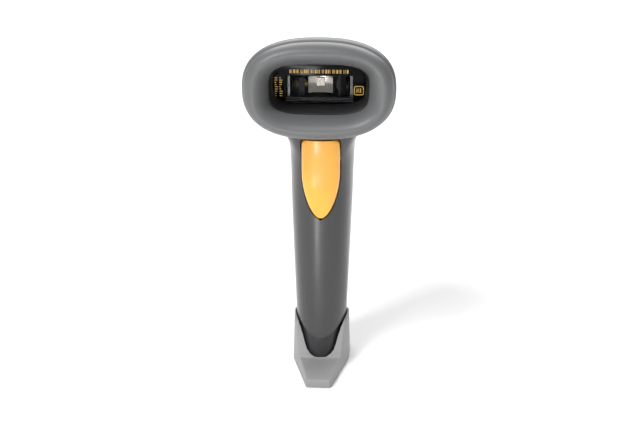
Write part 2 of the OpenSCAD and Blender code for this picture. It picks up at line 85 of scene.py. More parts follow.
# Rings of the bezel: half width, half height, squareness, depth, rise, lean.
BEZEL = [
    (21.7, 10.8, 3.6, 11.0, 0, 0), (21.0, 9.8, 3.5, 13.6, 0.6, -0.1),
    (20.2, 9.1, 3.7, 16.2, 1.15, -LEAN), (21.2, 10.0, 3.6, 16.5, 1.15, -LEAN),
    (21.2, 10.0, 3.6, 18.0, 1.25, -LEAN), (22.6, 11.1, 3.5, 17.5, 1.25, -LEAN),
    (23.4, 12.4, 3.2, 13.3, 0.3, 0), (27.0, 16.0, 2.7, 13.0, 0, 0), (27.0, 16.0, 2.7, 11.3, 0, 0),
]
# Sections of the boot from toe to heel: y, half width, height, how much narrower its top is on
# each side.
BOOT = [
    (-30.0, 5.5, 3.5, 0.4), (-29.3, 6.2, 4.2, 0.4), (-27.0, 6.8, 4.5, 0.5), (-22.0, 8.15, 4.95, 0.7),
    (-17.0, 9.5, 5.35, 0.9), (-13.2, 10.5, 5.65, 1.0), (-11.6, 11.0, 5.85, 1.0), (-10.7, 11.2, 6.4, 1.0),
    (-9.9, 11.4, 8.0, 1.0), (-9.1, 11.65, 10.5, 0.95), (-8.2, 11.9, 13.5, 0.9), (-7.2, 12.2, 16.5, 0.9),
    (-6.0, 12.5, 19.1, 0.8), (-4.8, 12.8, 21.0, 0.8), (-3.3, 13.2, 22.6, 0.75), (-1.0, 13.75, 23.7, 0.7),
    (2.0, 14.05, 24.2, 0.65), (5.0, 14.2, 24.2, 0.6), (8.0, 14.3, 23.5, 0.6), (12.0, 14.3, 22.4, 0.6),
    (16.0, 13.7, 21.1, 0.7), (20.0, 13.1, 19.9, 0.8), (23.0, 11.7, 18.9, 0.9), (25.4, 10.1, 18.5, 1.0),
    (27.3, 7.2, 18.1, 1.2), (28.0, 4.6, 17.2, 1.0),
]
# The outline, in y and z, of what is cut off the grip's end: a tongue stays at the front.
GRIP_END = [
    (-25, 4.8), (-11.4, 14.0), (-10.4, 15.7), (-9.9, 17.3), (-8.7, 18.9), (-7.8, 20.0), (-5.6, 22.4),
    (-4, 22.9), (5, 23.6), (5, 10), (40, 10), (40, -5), (-25, -5),
]
GRIP_CUT_HALF = 20
# The grip's section near its end, which the boot's cutters follow.
GRIP_MIDDLE = 7
GRIP_SQUARENESS = 2.4
POCKET_FLOOR = 9.7
POCKET_GAP = 0.3
BOOT_SCREWS = (-5, 9)
# The raised strip on the head, the lens's seat in it and the lens: half width, then front and back
# behind the nose's face.
STRIP_HALF, STRIP_FRONT, STRIP_BACK = 10, 18, 44
SEAT_HALF, SEAT_FRONT, SEAT_BACK = 6.15, 23.85, 36.15
LENS_HALF, LENS_FRONT, LENS_BACK = 6, 24, 36
HEAD_TOP = 8
# Closed wells at the back for the screws that hold the shells together.
WELL_SIDE, WELL_HEIGHT = 9.2, 101
WELL_RADIUS, WELL_START = 3.4, 17.8
BORE_RADIUS, BORE_START = 2.4, 23.8
WELL_END = 50
WELL_INSET = 1.1
SPRING_FRONT = -7.2
SPRING_BACK = 1.85
SPRING_HEIGHT = 93
SPRING_RADIUS = 2.2
SPRING_WIRE = 0.28
SPRING_TURNS = 6
TRIGGER_TIP = 77.1
TRIGGER_BEND = 100
TRIGGER_SHOULDER = 114.3
TRIGGER_TOP = 116.5
TRIGGER_BACK = 0.5
TRIGGER_OPEN_BACK = -1.2
TRIGGER_WALL = 0.95
# The line down the middle of the trigger's face: its foremost point, and how gently it curves.
CREST_Y, CREST_Z, CREST_CURVE = -10.6, 111, 248
DISH_HEIGHT = 101.5
DISH_REACH = 8
OPENING_FRONT, OPENING_BACK = -20, 3
# The window's clear pane and what is printed beside it, in the window's own plane.
PANE_HALF, PANE_LOW, PANE_HIGH = 15, -9.4, 3.1
TICK_ROW = (4.3, 6.0)
TICK_LEFT, TICK_RIGHT = -13.0, 12.4
TICK_WIDTHS = (0.5, 0.25, 0.75, 0.25, 0.5, 0.25, 0.25, 0.75, 0.5, 0.25)
TICK_GAPS = (0.35, 0.6, 0.35, 0.35, 0.9)
DASH_COLUMNS = (-19.6, -17.6)
DASH_LENGTHS = (1.3, 0.8, 1.1, 1.4, 0.6)
DASH_ROWS, DASH_TOP, DASH_PITCH = 9, 2.2, 1.05
BADGE = (15.1, 19.5, -5.8, -1.4)
BADGE_BARS = ((16.2, 0.5), (17.05, 0.3), (17.7, 0.6))
# Where the pale strip painted as a highlight along the engine board's front edge ends.
BOARD_HIGHLIGHT_END = -14.6
EDGE_ANGLE = math.radians(50)
# Softboxes: name, place, width, height, power.
LIGHTS = (
    ("key_light", (-0.8, -0.9, 1.6), 0.7, 0.7, 32),
    ("low_light", (-0.06, -0.3, 0.03), 0.03, 0.12, 0.3),
    ("fill_light", (1.3, -0.7, 0.9), 0.8, 0.8, 2),
    ("back_light", (0.2, 2.2, 2.0), 3.0, 1.6, 78),
)
DAYLIGHT = 0.4
FLOOR_SIZE = 12
CAMERA_AZIMUTH, CAMERA_ELEVATION = math.radians(2.5), math.radians(20)
CAMERA_DISTANCE, CAMERA_SHIFT, CAMERA_HEIGHT = 0.4479, 0.0006, 0.2407
CAMERA_LENS, CAMERA_SENSOR = 55.97, 36
HEAD = Matrix.Translation((0, -36 * MM, 144.4 * MM)) @ Matrix.Rotation(math.radians(-2), 4, "X")
WINDOW = HEAD @ Matrix.Translation((0, 16.25 * MM, 1.9 * MM)) @ Matrix.Rotation(WINDOW_LEAN, 4, "X")


# ---- sizes and colours ----

class ScannerSizes(bpy.types.PropertyGroup):
    """Sizes of the pieces that are modelled here"""

    nose_width: bpy.props.FloatProperty(
        name="Nose width", description="Widest part of the rubber nose",
        default=67.4 * MM, unit="LENGTH")
    nose_height: bpy.props.FloatProperty(
        name="Nose height", description="Height of the rubber nose across its face",
        default=44.4 * MM, unit="LENGTH")
    opening_width: bpy.props.FloatProperty(
        name="Opening width", description="Width of the opening in front of the window",
        default=43.6 * MM, unit="LENGTH")
    opening_height: bpy.props.FloatProperty(
        name="Opening height", description="Height of the opening in front of the window",
        default=21.8 * MM, unit="LENGTH")
    wall: bpy.props.FloatProperty(
        name="Shell wall", description="Wall of the two shells", default=2.2 * MM, unit="LENGTH")
    seam_bevel: bpy.props.FloatProperty(
        name="Seam bevel", description="Rounded edge along the seam between the shells",
        default=0.2 * MM, unit="LENGTH")
    trigger_width: bpy.props.FloatProperty(
        name="Trigger width", description="Width of the trigger's face",
        default=18 * MM, unit="LENGTH")
    trigger_gap: bpy.props.FloatProperty(
        name="Trigger gap", description="Gap between the trigger and its opening",
        default=0.45 * MM, unit="LENGTH")
    dish_depth: bpy.props.FloatProperty(
        name="Dish depth", description="Depth of the finger dish in the trigger",
        default=0.65 * MM, unit="LENGTH")
    strip_rise: bpy.props.FloatProperty(
        name="Strip rise", description="How far the strip on top of the head stands out",
        default=0.7 * MM, unit="LENGTH")
    lens_rise: bpy.props.FloatProperty(
        name="Lens rise", description="How far the status lens stands out of the head",
        default=0.9 * MM, unit="LENGTH")
    boot_voxel: bpy.props.FloatProperty(
        name="Boot grid", description="Grid that the boot's edges are rounded on",
        default=0.4 * MM, unit="LENGTH")


class ScannerColours(bpy.types.PropertyGroup):
    """Colours of the finishes"""

    rubber: bpy.props.FloatVectorProperty(
        name="Nose rubber", description="Soft rubber of the nose", subtype="COLOR", size=4,
        default=(0.118, 0.12, 0.122, 1))
    boot: bpy.props.FloatVectorProperty(
        name="Boot rubber", description="Soft rubber of the boot", subtype="COLOR", size=4,
        default=(0.25, 0.25, 0.25, 1))
    shell: bpy.props.FloatVectorProperty(
        name="Shell", description="Charcoal plastic of the two shells", subtype="COLOR", size=4,
        default=(0.03, 0.0303, 0.031, 1))
    trigger: bpy.props.FloatVectorProperty(
        name="Trigger", description="Amber plastic of the trigger", subtype="COLOR", size=4,
        default=(0.95, 0.44, 0.045, 1))
    print: bpy.props.FloatVectorProperty(
        name="Window marks", description="Amber ink on the window", subtype="COLOR", size=4,
        default=(0.62, 0.38, 0.08, 1))
    bezel: bpy.props.FloatVectorProperty(
        name="Bezel", description="Black plastic round the window", subtype="COLOR", size=4,
        default=(0.018, 0.018, 0.02, 1))
    board: bpy.props.FloatVectorProperty(
        name="Solder mask", description="Green of the circuit boards", subtype="COLOR", size=4,
        default=(0.012, 0.075, 0.035, 1))


# ---- modelling steps ----

def smooth_row(table, u):
    """A smooth curve through the rows of a table; u counts rows."""
    low = math.floor(u)
    f = u - low
    a, b, c, d = (table[min(max(low + k, 0), len(table) - 1)] for k in (-1, 0, 1, 2))
    return [
        q + f * (r - p) / 2 + f * f * (p - 2.5 * q + 2 * r - s / 2)
        + f ** 3 * (1.5 * (q - r) + (s - p) / 2)
        for p, q, r, s in zip(a, b, c, d)
    ]


def only(piece):
    """Selects one piece and nothing else."""
    if bpy.context.mode != "OBJECT":
        bpy.ops.object.mode_set(mode="OBJECT")
    bpy.ops.object.select_all(action="DESELECT")
    piece.select_set(True)
    bpy.context.view_layer.objects.active = piece


def begin(name):
    """Opens an empty mesh of that name in edit mode."""
    if bpy.context.mode != "OBJECT":
        bpy.ops.object.mode_set(mode="OBJECT")
    bpy.ops.object.select_all(action="DESELECT")
    bpy.ops.mesh.primitive_plane_add(size=1)
    piece = bpy.context.object
    piece.name = piece.data.name = name
    bpy.ops.object.mode_set(mode="EDIT")
    bpy.ops.mesh.select_mode(type="VERT")
    bpy.ops.mesh.select_all(action="SELECT")
    bpy.ops.mesh.delete(type="VERT")
    return piece


def pick(piece, kind, test):
    """Selects in edit mode only those faces, edges or corners that pass the test."""
    bpy.ops.mesh.select_mode(type=kind)
    bpy.ops.mesh.select_all(action="DESELECT")
    shape = bmesh.from_edit_mesh(piece.data)
    for part in {"VERT": shape.verts, "EDGE": shape.edges, "FACE": shape.faces}[kind]:
        if test(part):
            part.select_set(True)
    shape.select_flush_mode()
    bmesh.update_edit_mesh(piece.data)


def chosen(piece):
    """The places of the corners that are selected in edit mode."""
    shape = bmesh.from_edit_mesh(piece.data)
    return {tuple(v.co) for v in shape.verts if v.select}


def oval(piece, a, b, squareness, tilt, place):
    """Adds one oval loop: a across, b along the direction that tilt turns +Y to, about X."""
    bpy.ops.mesh.primitive_plane_add(size=2)
    bpy.ops.mesh.bevel(affect="VERTICES", offset=1, segments=ARC, profile=2 ** (-2 / squareness))
    bpy.ops.mesh.remove_doubles(threshold=1e-4)
    bpy.ops.transform.resize(value=(a, b, 1))
    bpy.ops.transform.rotate(value=-tilt, orient_axis="X", center_override=(0, 0, 0))
    bpy.ops.transform.translate(value=place)
    loop = chosen(piece)
    bpy.ops.mesh.delete(type="ONLY_FACE")
    return loop


def bridge(piece, loops, round_again=False):
    """Joins loops that follow each other with faces, and the last to the first if asked."""
    following = loops[1:] + loops[:1] if round_again else loops[1:]
    for here, there in zip(loops, following):
        pick(piece, "VERT", lambda v: tuple(v.co) in here or tuple(v.co) in there)
        bpy.ops.mesh.bridge_edge_loops()


def cap(piece, loop):
    """Closes an end of a piece with one face across its loop."""
    pick(piece, "VERT", lambda v: tuple(v.co) in loop)
    bpy.ops.mesh.edge_face_add()


def seal():
    """Merges doubled corners, turns all faces outwards and leaves edit mode."""
    bpy.ops.mesh.select_mode(type="VERT")
    bpy.ops.mesh.select_all(action="SELECT")
    bpy.ops.mesh.remove_doubles(threshold=1e-6)
    bpy.ops.mesh.normals_make_consistent(inside=False)
    bpy.ops.object.mode_set(mode="OBJECT")


def modify(piece, kind, **settings):
    """Puts one modifier on a piece and applies it."""
    only(piece)
    modifier = piece.modifiers.new(kind.title(), kind)
    for name, value in settings.items():
        setattr(modifier, name, value)
    bpy.ops.object.modifier_apply(modifier=modifier.name)


def ease_edges(piece, width, segments=2):
    """Rounds off a piece's sharp edges."""
    modify(piece, "BEVEL", width=width, segments=segments, limit_method="ANGLE",
           angle_limit=EDGE_ANGLE)


def round_off(piece, levels):
    """Subdivides a piece into a smooth surface."""
    modify(piece, "SUBSURF", levels=levels, render_levels=levels)


def cut(piece, tool, operation="DIFFERENCE"):
    """Cuts a piece with a solid that is then thrown away."""
    modify(piece, "BOOLEAN", object=tool, operation=operation, solver="EXACT")
    bpy.data.objects.remove(tool)


def prism(name, corners, along):
    """A solid from a flat outline of corners, pulled along a direction."""
    piece = begin(name)
    bpy.ops.mesh.primitive_plane_add(size=MM, location=corners[0])
    bpy.ops.mesh.merge(type="CENTER")
    for here, there in zip(corners, corners[1:]):
        step = [q - p for p, q in zip(here, there)]
        bpy.ops.mesh.extrude_region_move(TRANSFORM_OT_translate={"value": step})
    bpy.ops.mesh.select_all(action="SELECT")
    bpy.ops.mesh.edge_face_add()
    bpy.ops.mesh.extrude_region_move(TRANSFORM_OT_translate={"value": along})
    seal()
    return piece


def box(name, low, high):
    """A block from one corner to the other, in millimetres."""
    x0, y0, z0 = (p * MM for p in low)
    x1, y1, z1 = (p * MM for p in high)
    return prism(name, [(x0, y0, z0), (x1, y0, z0), (x1, y1, z0), (x0, y1, z0)], (0, 0, z1 - z0))


def bar(name, radius, start, end):
    """A round bar between two points on a line along Y or Z, in millimetres."""
    along_z = start[2] != end[2]
    middle = [(p + q) / 2 * MM for p, q in zip(start, end)]
    depth = sum(abs(q - p) for p, q in zip(start, end)) * MM
    if bpy.context.mode != "OBJECT":
        bpy.ops.object.mode_set(mode="OBJECT")
    bpy.ops.object.select_all(action="DESELECT")
    bpy.ops.mesh.primitive_cylinder_add(
        vertices=48, radius=radius * MM, depth=depth, location=middle,
        rotation=(0 if along_z else math.pi / 2, 0, 0))
    piece = bpy.context.object
    piece.name = piece.data.name = name
    bpy.ops.object.transform_apply()
    return piece


def put(piece, matrix):
    """Places a piece that was modelled at the origin, and keeps the place in its mesh."""
    only(piece)
    piece.matrix_world = matrix
    bpy.ops.object.transform_apply()


def soften(piece, degrees=35):
    """Shades a piece smooth, with its sharp edges kept."""
    only(piece)
    bpy.ops.object.shade_smooth_by_angle(angle=math.radians(degrees))


def body_tube(name, grow=0.0, first=0.0, count=BODY_LOOPS, closed=False):
    """The scanner's whole outer surface, grown by grow, from row first of its profile."""
    piece = begin(name)
    loops = []
    for k in range(count):
        row = smooth_row(BODY, first + (len(BODY) - 1 - first) * k / (count - 1))
        fy, fz, ry, rz, half, squareness = row
        high = math.hypot(ry - fy, rz - fz)
        tilt = math.atan2(rz - fz, ry - fy)
        loops.append(oval(piece, (half + grow) * MM, (high / 2 + grow) * MM, squareness, tilt,
                          (0, (fy + ry) / 2 * MM, (fz + rz) / 2 * MM)))
    bridge(piece, loops)
    if closed:
        cap(piece, loops[0])
        cap(piece, loops[-1])
    seal()
    return piece, loops


# ---- shader steps ----

class Level:
    """A value in a finish. Arithmetic on levels adds the Math nodes that work it out."""

    def __init__(self, finish, socket):
        self.finish = finish
        self.socket = socket

    def _math(self, operation, *values):
        return self.finish.add("Math", {"operation": operation}, values)

    def __add__(self, other):
        return self._math("ADD", self, other)

    def __radd__(self, other):
        return self._math("ADD", other, self)

    def __sub__(self, other):
        return self._math("SUBTRACT", self, other)

    def __rsub__(self, other):
        return self._math("SUBTRACT", other, self)

    def __mul__(self, other):
        return self._math("MULTIPLY", self, other)

    def __rmul__(self, other):
        return self._math("MULTIPLY", other, self)

    def __gt__(self, other):
        return self._math("GREATER_THAN", self, other)

    def __mod__(self, other):
        return self._math("FLOORED_MODULO", self, other)


class Finish:
    """One material, built node by node on the object's own coordinates."""

    def __init__(self, name):
        self.material = bpy.data.materials.new(name)
        self.material.use_nodes = True
        self.tree = self.material.node_tree
        self.tree.nodes.clear()
        self.place = self.add("TexCoord", output="Object")

    def add(self, kind, settings=None, sockets=(), output=0):
        """Adds one node: its settings first, then the values or links of its sockets."""
        node = self.tree.nodes.new("ShaderNode" + kind)
        for name, value in (settings or {}).items():
            setattr(node, name, value)
        pairs = sockets.items() if isinstance(sockets, dict) else enumerate(sockets)
        for key, value in pairs:
            if isinstance(value, Level):
                self.tree.links.new(value.socket, node.inputs[key])
            else:
                node.inputs[key].default_value = value
        return Level(self, node.outputs[output])

    def noise(self, per_mm, detail=2.0, place=None):
        """Soft noise with that many bumps to the millimetre."""
        return self.add("TexNoise", None, {
            "Vector": place or self.place, "Scale": per_mm / MM, "Detail": detail})

    def blend(self, factor, low, high):
        """A colour between two colours."""
        return self.add("Mix", {"data_type": "RGBA"}, {0: factor, 6: low, 7: high}, output=2)

    def axes(self):
        """The place's X, Y and Z, each as a level."""
        split = self.add("SeparateXYZ", None, [self.place]).socket.node
        return [Level(self, split.outputs[k]) for k in range(3)]

    def bump(self, height, depth, strength):
        """A bumped normal; depth is the full height in metres."""
        return self.add("Bump", None, {"Height": height, "Distance": depth, "Strength": strength})

    def shade(self, **sockets):
        """Ends the finish in its shader, and returns the material."""
        named = {name.replace("_", " "): value for name, value in sockets.items()}
        shader = self.add("BsdfPrincipled", None, named)
        output = self.tree.nodes.new("ShaderNodeOutputMaterial")
        self.tree.links.new(shader.socket, output.inputs["Surface"])
        return self.material


def shade_of(colour, times):
    """A colour made lighter or darker."""
    return tuple(min(c * times, 1) for c in colour[:3]) + (1,)


def soft_rubber(name, colour):
    """Matt rubber with the fine grain of its mould and a little dust in it."""
    finish = Finish(name)
    grain = finish.noise(3.2, 3)
    cloud = finish.noise(0.09, 3)
    tone = finish.blend(cloud * 0.75 + grain * 0.25, shade_of(colour, 0.9), shade_of(colour, 1.1))
    normal = finish.bump(grain, 0.03 * MM, 0.6)
    return finish.shade(
        Base_Color=tone, Roughness=0.38 + cloud * 0.1 + grain * 0.06, Normal=normal,
        Specular_IOR_Level=0.5)


def moulded_plastic(name, colour, gloss=0.36, grain_depth=0.012, per_mm=4.5, coat=0.0, shine=0.5):
    """Moulded plastic with the fine spark-eroded texture of its tool."""
    finish = Finish(name)
    grain = finish.noise(per_mm, 2)
    cloud = finish.noise(0.06, 2)
    tone = finish.blend(cloud * 0.8 + grain * 0.2, shade_of(colour, 0.93), shade_of(colour, 1.07))
    normal = finish.bump(grain, grain_depth * MM, 0.5)
    return finish.shade(
        Base_Color=tone, Roughness=gloss + cloud * 0.06 + grain * 0.05, Normal=normal,
        Coat_Weight=coat, Coat_Roughness=0.2, Specular_IOR_Level=shine)


def worked_metal(name, colour, roughness=0.3):
    """Bright metal with fine drawn scratches along it and slight staining."""
    finish = Finish(name)
    streaks = finish.noise(6.0, 3, finish.add("Mapping", None, {
        "Vector": finish.place, "Scale": (1, 0.12, 1)}))
    stain = finish.noise(0.5, 2)
    tone = finish.blend(stain, shade_of(colour, 0.85), shade_of(colour, 1.08))
    return finish.shade(
        Base_Color=tone, Metallic=1.0, Roughness=roughness - 0.08 + streaks * 0.16,
        Normal=finish.bump(streaks, 0.006 * MM, 0.4))


def circuit_board(name, colour, highlight_edge=-1.0):
    """Green solder mask over copper tracks; in front of the given edge, in metres, a pale strip painted
    as a highlight along the board's front edge.
    """
    finish = Finish(name)
    x, y, _ = finish.axes()
    run = finish.noise(0.16, 0)
    lane = (x * (1 / MM) + run * 3.0) % 1.27
    track = (lane > 0.55) * (1 - (lane > 0.9))
    pads = finish.add("TexVoronoi", {"feature": "F1"}, {
        "Vector": finish.place, "Scale": 0.35 / MM, "Randomness": 0.85})
    pad = 1 - (pads > 0.16)
    mask = finish.blend(track, colour, shade_of(colour, 1.9))
    printed = finish.blend(pad, mask, (0.55, 0.53, 0.42, 1))
    # Painted highlight: the pale colour in front of the edge stands in for light along the board's front
    # edge.
    tone = finish.blend(y > highlight_edge, (0.72, 0.76, 0.66, 1), printed)
    return finish.shade(
        Base_Color=tone, Roughness=0.28 + pad * 0.12, Metallic=pad * 0.8,
        Normal=finish.bump(track + pad, 0.03 * MM, 0.5))


def gloss_glass(name, colour):
    """Clear hard plastic of the window, faintly smoked."""
    finish = Finish(name)
    haze = finish.noise(0.2, 2)
    return finish.shade(
        Base_Color=colour, Roughness=0.03 + haze * 0.03, Alpha=0.06 + haze * 0.03,
        Specular_IOR_Level=0.25)


def curved_mirror(name):
    """Vacuum-coated mirror with faint warm haze."""
    finish = Finish(name)
    haze = finish.noise(0.3, 2)
    tone = finish.blend(haze, (0.42, 0.38, 0.33, 1), (0.55, 0.53, 0.5, 1))
    return finish.shade(Base_Color=tone, Metallic=1.0, Roughness=0.16 + haze * 0.1)


def green_lens(name):
    """Smoked green lens over the status light."""
    finish = Finish(name)
    frost = finish.noise(0.9, 2)
    tone = finish.blend(frost, (0.02, 0.055, 0.03, 1), (0.03, 0.08, 0.045, 1))
    return finish.shade(
        Base_Color=tone, Roughness=0.16 + frost * 0.08, Coat_Weight=0.6, Coat_Roughness=0.08,
        Normal=finish.bump(frost, 0.01 * MM, 0.3))


def dress(piece, material):
    """Gives a piece one material."""
    piece.data.materials.clear()
    piece.data.materials.append(material)


# ---- operators ----

class SCANNER_OT_nose(bpy.types.Operator):
    """Rubber nose with its rolled lip and flared skirt"""

    bl_idname = "scanner.nose"
    bl_label = "Nose"

    def execute(self, context):
        sizes = context.scene.scanner_sizes
        nose = begin("nose_ring")
        loops = []
        for inward, squareness, depth in NOSE:
            a = sizes.nose_width * (1 - inward) + sizes.opening_width * inward
            b = sizes.nose_height * (1 - inward) + sizes.opening_height * inward
            loops.append(oval(nose, a / 2, b / 2, squareness, math.pi / 2, (0, depth * MM, 0)))
        bridge(nose, loops, round_again=True)
        seal()
        put(nose, HEAD)
        round_off(nose, 2)
        soften(nose, 60)
        dress(nose, soft_rubber("nose_rubber", context.scene.scanner_colours.rubber))
        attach(nose, "root")
        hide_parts("nose_bumper")
        return {"FINISHED"}


class SCANNER_OT_bezel(bpy.types.Operator):
    """Black bezel that leads in to the window"""

    bl_idname = "scanner.bezel"
    bl_label = "Bezel"

    def execute(self, context):
        bezel = begin("bezel_ring")
        loops = []
        for a, b, squareness, depth, rise, lean in BEZEL:
            tilt = math.atan2(1, lean)
            loops.append(oval(bezel, a * MM, b * MM * math.hypot(1, lean), squareness, tilt,
                              (0, depth * MM, rise * MM)))
        bridge(bezel, loops, round_again=True)
        seal()
        put(bezel, HEAD)
        ease_edges(bezel, 0.12 * MM)
        soften(bezel)
        black = context.scene.scanner_colours.bezel
        dress(bezel, moulded_plastic("bezel_plastic", black, gloss=0.38, grain_depth=0.01))
        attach(bezel, "root")
        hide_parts("window_bezel")
        return {"FINISHED"}


class SCANNER_OT_shells(bpy.types.Operator):
    """Front and rear shell of the head and grip, with the strip and status lens on top"""

    bl_idname = "scanner.shells"
    bl_label = "Shells"

    def execute(self, context):
        sizes = context.scene.scanner_sizes
        front, rear = self.halves()
        lens = self.top_strip(rear, sizes)
        for shell in (front, rear):
            modify(shell, "SOLIDIFY", thickness=sizes.wall, offset=-1, use_even_offset=True)
            ease_edges(shell, sizes.seam_bevel)
            cut(shell, grip_end_tool())
        cut(front, trigger_tool(sizes.trigger_gap))
        for side in (-WELL_SIDE, WELL_SIDE):
            end = (side, WELL_END, WELL_HEIGHT)
            well = bar("well", WELL_RADIUS, (side, WELL_START, WELL_HEIGHT), end)
            inside, _ = body_tube("well_limit", -WELL_INSET, closed=True)
            cut(well, inside, "INTERSECT")
            cut(rear, well, "UNION")
            cut(rear, bar("bore_tool", BORE_RADIUS, (side, BORE_START, WELL_HEIGHT), end))
        for shell, node, slot in ((front, "front_housing", "housing"),
                                  (rear, "rear_housing", "housing")):
            soften(shell)
            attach(shell, "root")
            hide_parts(node)
        plastic = moulded_plastic("shell_plastic", context.scene.scanner_colours.shell,
                                  gloss=0.2, grain_depth=0.006, shine=0.6)
        dress(front, plastic)
        dress(rear, plastic)
        modify(lens, "SOLIDIFY", thickness=sizes.lens_rise * 2, offset=0, use_even_offset=True)
        ease_edges(lens, 0.3 * MM, segments=3)
        soften(lens)
        dress(lens, green_lens("status_lens_plastic"))
        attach(lens, "root")
        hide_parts("status_lens")
        return {"FINISHED"}

    def halves(self):
        """The body's surface, split along the middle of its sections."""
        rear, loops = body_tube("rear_shell")
        row_of = {}
        middles = []
        for k, loop in enumerate(loops):
            row_of.update((place, k) for place in loop)
            fy, fz, ry, rz, _, _ = smooth_row(BODY, (len(BODY) - 1) * k / (BODY_LOOPS - 1))
            middles.append(((fy + ry) / 2 * MM, (fz + rz) / 2 * MM, ry - fy, rz - fz))

        def ahead(face):
            rows = sorted({row_of[tuple(v.co)] for v in face.verts})
            ups = []
            for k in rows:
                my, mz, ey, ez = middles[k]
                ups += [(v.co.y - my) * ey + (v.co.z - mz) * ez for v in face.verts
                        if row_of[tuple(v.co)] == k]
            return sum(ups) < 0

        only(rear)
        bpy.ops.object.mode_set(mode="EDIT")
        pick(rear, "FACE", ahead)
        bpy.ops.mesh.separate(type="SELECTED")
        bpy.ops.object.mode_set(mode="OBJECT")
        front = [o for o in bpy.context.selected_objects if o != rear][0]
        front.name = front.data.name = "front_shell"
        for shell in (front, rear):
            round_off(shell, 1)
        return front, rear

    def top_strip(self, rear, sizes):
        """Raises the strip on the head, sinks the lens's seat in it and returns the lens."""
        only(rear)
        bpy.ops.object.mode_set(mode="EDIT")
        for x in (-STRIP_HALF, -SEAT_HALF, -LENS_HALF, LENS_HALF, SEAT_HALF, STRIP_HALF):
            bpy.ops.mesh.select_all(action="SELECT")
            bpy.ops.mesh.bisect(plane_co=(x * MM, 0, 0), plane_no=(1, 0, 0))
        back = HEAD.to_3x3() @ Vector((0, 1, 0))
        for y in (STRIP_FRONT, SEAT_FRONT, LENS_FRONT, LENS_BACK, SEAT_BACK, STRIP_BACK):
            bpy.ops.mesh.select_all(action="SELECT")
            bpy.ops.mesh.bisect(plane_co=HEAD @ Vector((0, y * MM, 0)), plane_no=back)

        def within(half, near, far):
            def test(face):
                here = HEAD.inverted() @ face.calc_center_median()
                return (abs(here.x) < half * MM and near * MM < here.y < far * MM
                        and here.z > HEAD_TOP * MM)
            return test

        pick(rear, "FACE", within(LENS_HALF, LENS_FRONT, LENS_BACK))
        bpy.ops.mesh.duplicate()
        bpy.ops.mesh.separate(type="SELECTED")
        for region, rise in (((STRIP_HALF, STRIP_FRONT, STRIP_BACK), sizes.strip_rise),
                             ((SEAT_HALF, SEAT_FRONT, SEAT_BACK), -sizes.strip_rise)):
            pick(rear, "FACE", within(*region))
            bpy.ops.mesh.extrude_region_shrink_fatten(TRANSFORM_OT_shrink_fatten={"value": rise})
        bpy.ops.object.mode_set(mode="OBJECT")
        lens = [o for o in bpy.context.selected_objects if o != rear][0]
        lens.name = lens.data.name = "status_lens_cap"
        return lens


def grip_end_tool():
    """What is cut off the end of the grip."""
    corners = [(-GRIP_CUT_HALF * MM, y * MM, z * MM) for y, z in GRIP_END]
    return prism("grip_end_tool", corners, (2 * GRIP_CUT_HALF * MM, 0, 0))


def trigger_half(z, width):
    """Half width of the trigger at height z, both in millimetres."""
    if z < TRIGGER_BEND:
        low = (TRIGGER_BEND - z) / (TRIGGER_BEND - TRIGGER_TIP)
        return width / 2 * max(1 - low ** 1.8, 0) ** 0.57
    corner = TRIGGER_TOP - TRIGGER_SHOULDER
    over = max(z - TRIGGER_SHOULDER, 0)
    return width / 2 - corner + math.sqrt(max(corner ** 2 - over ** 2, 0))


def trigger_heights():
    """Heights of the trigger's sections, closer together where its outline is round."""
    low = [TRIGGER_TIP + (TRIGGER_BEND - TRIGGER_TIP) * (k / 18) ** 1.7 for k in range(1, 19)]
    corner = TRIGGER_TOP - TRIGGER_SHOULDER
    high = [TRIGGER_SHOULDER + corner * math.sin(math.radians(a)) for a in range(0, 91, 15)]
    return low + [103, 106, 109, 112] + high


def trigger_tool(gap):
    """A solid of the trigger's outline, grown by the gap, that cuts its opening."""
    width = bpy.context.scene.scanner_sizes.trigger_width / MM
    right = [(gap, (TRIGGER_TIP * MM) - gap)]
    for z in trigger_heights():
        lift = gap if z > TRIGGER_SHOULDER else 0
        right.append((trigger_half(z, width) * MM + gap, z * MM + lift))
    outline = right + [(-x, z) for x, z in reversed(right)]
    corners = [(x, OPENING_FRONT * MM, z) for x, z in outline]
    return prism("trigger_opening", corners, (0, OPENING_BACK * MM - OPENING_FRONT * MM, 0))


